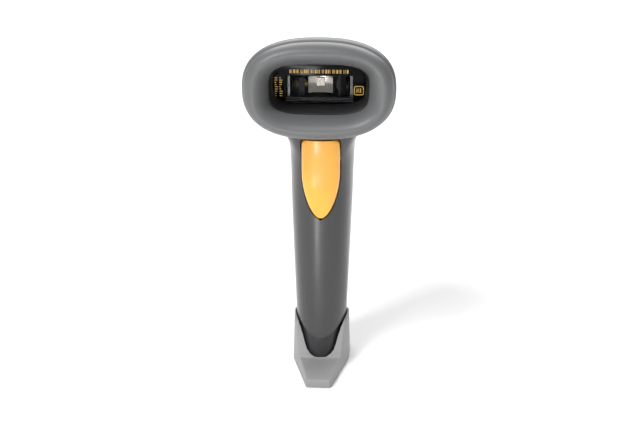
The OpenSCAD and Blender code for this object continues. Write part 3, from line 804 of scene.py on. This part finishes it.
class SCANNER_OT_trigger(bpy.types.Operator):
    """Amber trigger with its crowned face and finger dish"""

    bl_idname = "scanner.trigger"
    bl_label = "Trigger"

    def execute(self, context):
        sizes = context.scene.scanner_sizes
        width = sizes.trigger_width / MM
        trigger = begin("trigger_lever")
        loops = []
        for z in trigger_heights():
            crest = CREST_Y + (z - CREST_Z) ** 2 / CREST_CURVE
            half = max(trigger_half(z, width), 0.4)
            squareness = min(2.3 * (width / 2 / half) ** 1.2, 12)
            loops.append(oval(trigger, half * MM, (TRIGGER_BACK - crest) / 2 * MM, squareness, 0,
                              (0, (TRIGGER_BACK + crest) / 2 * MM, z * MM)))
        bridge(trigger, loops)
        cap(trigger, loops[0])
        bpy.ops.mesh.poke()
        cap(trigger, loops[-1])
        bpy.ops.mesh.inset(thickness=0.5 * MM)
        seal()
        only(trigger)
        bpy.ops.object.mode_set(mode="EDIT")
        pick(trigger, "VERT", lambda v: v.co.y < -8 * MM and abs(v.co.x) < 1 * MM
             and abs(v.co.z - DISH_HEIGHT * MM) < 2.6 * MM)
        bpy.ops.transform.translate(
            value=(0, sizes.dish_depth, 0), use_proportional_edit=True,
            proportional_size=DISH_REACH * MM, proportional_edit_falloff="SMOOTH")
        pick(trigger, "FACE", lambda f: f.calc_center_median().y > TRIGGER_OPEN_BACK * MM)
        bpy.ops.mesh.delete(type="FACE")
        bpy.ops.object.mode_set(mode="OBJECT")
        round_off(trigger, 1)
        modify(trigger, "SOLIDIFY", thickness=TRIGGER_WALL * MM, offset=-1)
        soften(trigger, 50)
        amber = context.scene.scanner_colours.trigger
        dress(trigger, moulded_plastic("trigger_plastic", amber, gloss=0.26, grain_depth=0.004,
                                       coat=0.3))
        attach(trigger, "trigger")
        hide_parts("trigger")
        return {"FINISHED"}


class SCANNER_OT_spring(bpy.types.Operator):
    """Trigger's return spring, built as a fixed coil"""

    bl_idname = "scanner.spring"
    bl_label = "Trigger spring"

    def execute(self, context):
        spring = begin("return_spring")
        bpy.ops.mesh.primitive_circle_add(
            vertices=10, radius=SPRING_WIRE * MM, location=(SPRING_RADIUS * MM, 0, 0),
            rotation=(math.pi / 2, 0, 0))
        bpy.ops.object.mode_set(mode="OBJECT")
        pitch = (SPRING_BACK - SPRING_FRONT) / SPRING_TURNS
        modify(spring, "SCREW", angle=math.tau, screw_offset=pitch * MM, iterations=SPRING_TURNS,
               steps=24, render_steps=24)
        bpy.ops.object.mode_set(mode="EDIT")
        bpy.ops.mesh.select_mode(type="VERT")
        bpy.ops.mesh.select_all(action="SELECT")
        bpy.ops.mesh.fill_holes(sides=0)
        seal()
        put(spring, Matrix.Translation((0, SPRING_FRONT * MM, SPRING_HEIGHT * MM))
            @ Matrix.Rotation(-math.pi / 2, 4, "X"))
        soften(spring, 50)
        dress(spring, worked_metal("spring_wire", (0.6, 0.6, 0.61, 1), 0.25))
        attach(spring, "root")
        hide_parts("trigger_spring")
        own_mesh(spring)
        return {"FINISHED"}


def grip_plate(name, half_width, half_depth, low, rise):
    """A plate of the grip's section, standing on height low, all in millimetres."""
    plate = begin(name)
    loop = oval(plate, half_width * MM, half_depth * MM, GRIP_SQUARENESS, 0,
                (0, GRIP_MIDDLE * MM, low * MM))
    cap(plate, loop)
    bpy.ops.mesh.extrude_region_move(TRANSFORM_OT_translate={"value": (0, 0, rise * MM)})
    seal()
    return plate


class SCANNER_OT_boot(bpy.types.Operator):
    """Rubber boot that the scanner stands on, with its toe, wings and heel"""

    bl_idname = "scanner.boot"
    bl_label = "Boot"

    def execute(self, context):
        boot = begin("rubber_boot")
        loops = []
        for y, half, high, narrower in BOOT:
            bpy.ops.mesh.primitive_plane_add(size=2)
            bpy.ops.transform.rotate(value=-math.pi / 2, orient_axis="X", center_override=(0, 0, 0))
            bpy.ops.transform.resize(value=(half * MM, 1, high / 2 * MM))
            bpy.ops.transform.translate(value=(0, y * MM, high / 2 * MM))
            whole = chosen(boot)
            pick(boot, "VERT", lambda v: tuple(v.co) in whole and v.co.z > high / 2 * MM)
            bpy.ops.transform.resize(value=(1 - narrower / half, 1, 1))
            loops.append({place for place in whole if place[2] < high / 2 * MM} | chosen(boot))
        bpy.ops.mesh.select_all(action="SELECT")
        bpy.ops.mesh.delete(type="ONLY_FACE")
        bridge(boot, loops)
        cap(boot, loops[0])
        cap(boot, loops[-1])
        seal()
        pocket, _ = body_tube("pocket_tool", POCKET_GAP, first=8, count=12, closed=True)
        only(pocket)
        bpy.ops.object.mode_set(mode="EDIT")
        bpy.ops.mesh.select_all(action="SELECT")
        bpy.ops.mesh.bisect(plane_co=(0, 0, POCKET_FLOOR * MM), plane_no=(0, 0, 1),
                            use_fill=True, clear_inner=True)
        seal()
        cut(boot, pocket)
        cut(boot, grip_plate("seat_tool", 11.5, 16.65, 3, 9))
        cut(boot, grip_plate("step_tool", 12.6, 17.75, 5.6, 5))
        cut(boot, box("socket_tool", (-5.2, 15, 5.6), (5.2, 40, 10.6)))
        for y in BOOT_SCREWS:
            cut(boot, bar("screw_tool", 2.7, (0, y, -1), (0, y, 2.4)))
        only(boot)
        boot.data.remesh_voxel_size = context.scene.scanner_sizes.boot_voxel
        bpy.ops.object.voxel_remesh()
        bpy.ops.object.mode_set(mode="EDIT")
        bpy.ops.mesh.select_all(action="SELECT")
        bpy.ops.mesh.vertices_smooth(factor=0.5, repeat=3)
        bpy.ops.object.mode_set(mode="OBJECT")
        soften(boot, 60)
        dress(boot, soft_rubber("boot_rubber", context.scene.scanner_colours.boot))
        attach(boot, "root")
        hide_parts("base_boot")
        return {"FINISHED"}


class SCANNER_OT_window(bpy.types.Operator):
    """Scan window: a black printed mask round its clear pane, with amber marks"""

    bl_idname = "scanner.window"
    bl_label = "Window"

    def execute(self, context):
        colours = context.scene.scanner_colours
        mask = begin("window_mask")
        oval(mask, 21.0 * MM, 10.1 * MM, 3.6, math.pi / 2, (0, 0, -0.8 * MM))
        bpy.ops.mesh.select_all(action="SELECT")
        bpy.ops.mesh.edge_face_add()
        bpy.ops.mesh.extrude_region_move(TRANSFORM_OT_translate={"value": (0, 1.4 * MM, 0)})
        seal()
        cut(mask, box("pane_tool", (-PANE_HALF, -3, PANE_LOW), (PANE_HALF, 3, PANE_HIGH)))
        ease_edges(mask, 0.08 * MM)
        put(mask, WINDOW)
        soften(mask)
        dress(mask, moulded_plastic("window_black", (0.002, 0.002, 0.0022, 1), gloss=0.1,
                                    grain_depth=0.0005, shine=0.08))
        pane = box("window_pane", (-PANE_HALF, 0.1, PANE_LOW), (PANE_HALF, 1.3, PANE_HIGH))
        ease_edges(pane, 0.05 * MM, segments=1)
        put(pane, WINDOW)
        dress(pane, gloss_glass("window_clear", (0.02, 0.022, 0.024, 1)))
        marks = self.marks()
        put(marks, WINDOW)
        dress(marks, moulded_plastic("mark_ink", colours.print, gloss=0.4, grain_depth=0.002, per_mm=8))
        for piece in (mask, pane, marks):
            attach(piece, "root")
        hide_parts("scan_window")
        return {"FINISHED"}

    def marks(self):
        """A row of ticks above the pane, short dashes at its left and a small badge at its right."""
        marks = begin("window_marks")
        x = TICK_LEFT
        k = 0
        while x < TICK_RIGHT:
            width = TICK_WIDTHS[k % len(TICK_WIDTHS)]
            self.patch(x, x + width, *TICK_ROW)
            x += width + TICK_GAPS[k % len(TICK_GAPS)]
            k += 1
        for column, left in enumerate(DASH_COLUMNS):
            for row in range(DASH_ROWS):
                length = DASH_LENGTHS[(row * 2 + column) % len(DASH_LENGTHS)]
                z = DASH_TOP - row * DASH_PITCH
                self.patch(left, left + length, z - 0.3, z + 0.05)
        for left, width in BADGE_BARS:
            self.patch(left, left + width, -4.6, -2.6)
        self.patch(*BADGE)
        bpy.ops.mesh.bevel(affect="VERTICES", offset=0.9 * MM, segments=4)
        bpy.ops.mesh.inset(thickness=0.45 * MM)
        bpy.ops.mesh.delete(type="FACE")
        bpy.ops.mesh.select_all(action="SELECT")
        bpy.ops.mesh.remove_doubles(threshold=1e-6)
        bpy.ops.mesh.extrude_region_move(TRANSFORM_OT_translate={"value": (0, -0.05 * MM, 0)})
        seal()
        return marks

    def patch(self, x0, x1, z0, z1):
        """One flat rectangle of ink on the mask's face."""
        bpy.ops.mesh.primitive_plane_add(
            size=MM, rotation=(math.pi / 2, 0, 0),
            location=((x0 + x1) / 2 * MM, 0, (z0 + z1) / 2 * MM))
        bpy.ops.transform.resize(value=(x1 - x0, 1, z1 - z0))


class SCANNER_OT_inner_parts(bpy.types.Operator):
    """Finishes of the parts that are kept as the CAD model has them"""

    bl_idname = "scanner.inner_parts"
    bl_label = "Inner parts"

    def execute(self, context):
        colours = context.scene.scanner_colours
        steel = worked_metal("steel", (0.56, 0.56, 0.58, 1))
        black = moulded_plastic("black_plastic", (0.02, 0.02, 0.022, 1), gloss=0.45)
        white = moulded_plastic("white_plastic", (0.72, 0.7, 0.64, 1), gloss=0.4)
        board = circuit_board("solder_mask", colours.board)
        brass = worked_metal("brass", (0.72, 0.5, 0.2, 1), 0.28)
        finishes = {
            black: ("base_plug", "switch_case", "sounder", "decoder_chip", "memory_chip",
                    "laser_collar", "light_sensor", "engine_tray", "window_gasket"),
            steel: ("boot_screws", "housing_screws", "board_screws", "trigger_pin", "mirror_pin",
                    "radio_module", "charge_socket"),
            white: ("switch_plunger", "flex_socket", "status_led", "flex_cable"),
            board: ("main_board", "charge_board"),
            circuit_board("engine_solder_mask_and_highlight", colours.board, BOARD_HIGHLIGHT_END * MM): ("engine_board",),
            brass: ("engine_screws", "laser_module"),
            worked_metal("engine_zinc", (0.16, 0.16, 0.17, 1), 0.4): ("engine_frame",),
            worked_metal("magnet_nickel", (0.3, 0.3, 0.31, 1), 0.25): ("mirror_magnet",),
            worked_metal("coil_copper", (0.75, 0.33, 0.13, 1), 0.35): ("drive_coil",),
            curved_mirror("mirror_coating"): ("scan_mirror",),
            moulded_plastic("frame_plastic", (0.12, 0.13, 0.14, 1)): ("inner_frame",),
            moulded_plastic("battery_wrap", (0.03, 0.09, 0.35, 1), gloss=0.25): ("battery",),
            moulded_plastic("lead_insulation", (0.5, 0.03, 0.02, 1)): ("battery_lead",),
        }
        for material, names in finishes.items():
            for name in names:
                dress(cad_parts[name], material)
        return {"FINISHED"}


class SCANNER_OT_stage(bpy.types.Operator):
    """Pale floor, soft studio lights and the camera"""

    bl_idname = "scanner.stage"
    bl_label = "Stage"

    def execute(self, context):
        scene = context.scene
        floor = begin("floor")
        bpy.ops.mesh.primitive_plane_add(size=FLOOR_SIZE)
        bpy.ops.object.mode_set(mode="OBJECT")
        finish = Finish("floor_paper")
        dress(floor, finish.shade(Base_Color=(0.9, 0.9, 0.9, 1), Roughness=0.9, Specular_IOR_Level=0.1))
        world = bpy.data.worlds.new("studio")
        world.use_nodes = True
        world.node_tree.nodes["Background"].inputs["Color"].default_value = (1, 1, 1, 1)
        world.node_tree.nodes["Background"].inputs["Strength"].default_value = DAYLIGHT
        scene.world = world
        for light in LIGHTS:
            self.softbox(*light)
        camera = bpy.data.cameras.new("camera")
        camera.lens = CAMERA_LENS
        camera.sensor_width = CAMERA_SENSOR
        camera.clip_start = 0.01
        view = bpy.data.objects.new("camera", camera)
        view.location = (CAMERA_DISTANCE * math.sin(CAMERA_AZIMUTH) - CAMERA_SHIFT,
                         -CAMERA_DISTANCE * math.cos(CAMERA_AZIMUTH), CAMERA_HEIGHT)
        view.rotation_euler = (math.pi / 2 - CAMERA_ELEVATION, 0, CAMERA_AZIMUTH)
        scene.collection.objects.link(view)
        scene.camera = view
        scene.view_settings.view_transform = "Standard"
        return {"FINISHED"}

    def softbox(self, name, place, wide, high, power):
        """An area light that faces the middle of the scanner."""
        lamp = bpy.data.lights.new(name, "AREA")
        lamp.shape = "RECTANGLE"
        lamp.size = wide
        lamp.size_y = high
        lamp.energy = power
        light = bpy.data.objects.new(name, lamp)
        light.location = place
        light.visible_camera = False
        aim = Vector((0, 0, 0.08)) - light.location
        light.rotation_euler = aim.to_track_quat("-Z", "Y").to_euler()
        bpy.context.scene.collection.objects.link(light)


class SCANNER_PT_pieces(bpy.types.Panel):
    """Lists what the scanner is made of"""

    bl_idname = "SCANNER_PT_pieces"
    bl_label = "Scanner"
    bl_space_type = "VIEW_3D"
    bl_region_type = "UI"
    bl_category = "Scanner"

    def draw(self, context):
        for operator in OPERATORS:
            self.layout.operator(operator.bl_idname)
        for group in (context.scene.scanner_sizes, context.scene.scanner_colours):
            for name in group.__annotations__:
                self.layout.prop(group, name)


OPERATORS = (SCANNER_OT_nose, SCANNER_OT_bezel, SCANNER_OT_shells, SCANNER_OT_trigger,
             SCANNER_OT_spring, SCANNER_OT_boot, SCANNER_OT_window, SCANNER_OT_inner_parts,
             SCANNER_OT_stage)
CLASSES = (ScannerSizes, ScannerColours) + OPERATORS + (SCANNER_PT_pieces,)


def register():
    for cls in CLASSES:
        bpy.utils.register_class(cls)
    bpy.types.Scene.scanner_sizes = bpy.props.PointerProperty(type=ScannerSizes)
    bpy.types.Scene.scanner_colours = bpy.props.PointerProperty(type=ScannerColours)


def unregister():
    del bpy.types.Scene.scanner_colours
    del bpy.types.Scene.scanner_sizes
    for cls in reversed(CLASSES):
        bpy.utils.unregister_class(cls)


def main():
    register()
    for name in ("nose", "bezel", "shells", "trigger", "spring", "boot", "window",
                 "inner_parts", "stage"):
        getattr(bpy.ops.scanner, name)()


if __name__ == "__main__":
    main()
